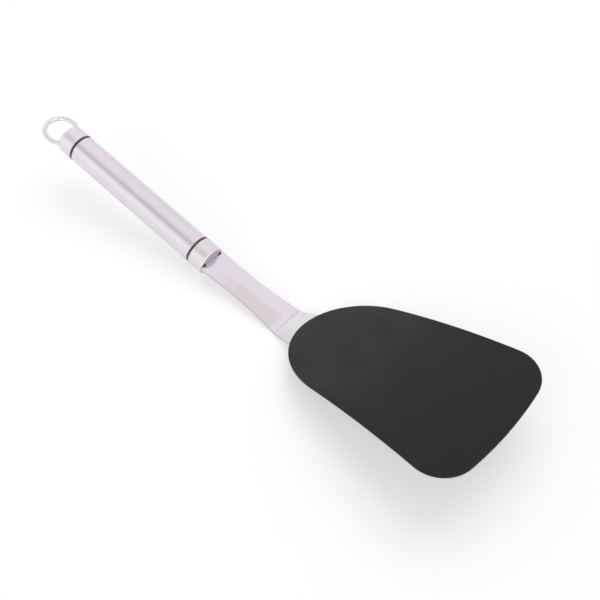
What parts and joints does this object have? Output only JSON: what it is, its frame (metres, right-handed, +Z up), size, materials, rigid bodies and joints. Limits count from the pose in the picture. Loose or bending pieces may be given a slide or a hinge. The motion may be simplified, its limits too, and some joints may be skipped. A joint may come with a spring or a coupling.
{
  "type": "flexible turner",
  "caption": "Kitchen turner with a tube handle, a fixed hanging loop, a bent metal neck and a wide, bowed, flexible blade.",
  "frame": {"origin": "middle of the length and width, on the surface that the turner rests on", "axes": "+Z up, +Y from the hanging loop to the blade's tip, +X to the right when looking along +Y"},
  "size_m": [0.095, 0.3586, 0.0449],
  "materials": {
    "satin_steel": "satin, brushed along the tube",
    "polished_steel": "polished",
    "spring_steel": "rolled",
    "black_nylon": "moulded, matt",
    "black_silicone": "moulded, matt and smooth"
  },
  "bodies": {
    "root": {"handle_tube": "satin_steel", "ferrule": "polished_steel", "tail_cap": "polished_steel", "hanging_loop": "polished_steel", "tail_plug": "black_nylon", "front_plug": "black_nylon", "tang_pin": "spring_steel", "neck": "polished_steel", "blade_core": "spring_steel", "blade_cover": "black_silicone"}
  },
  "joints": []
}
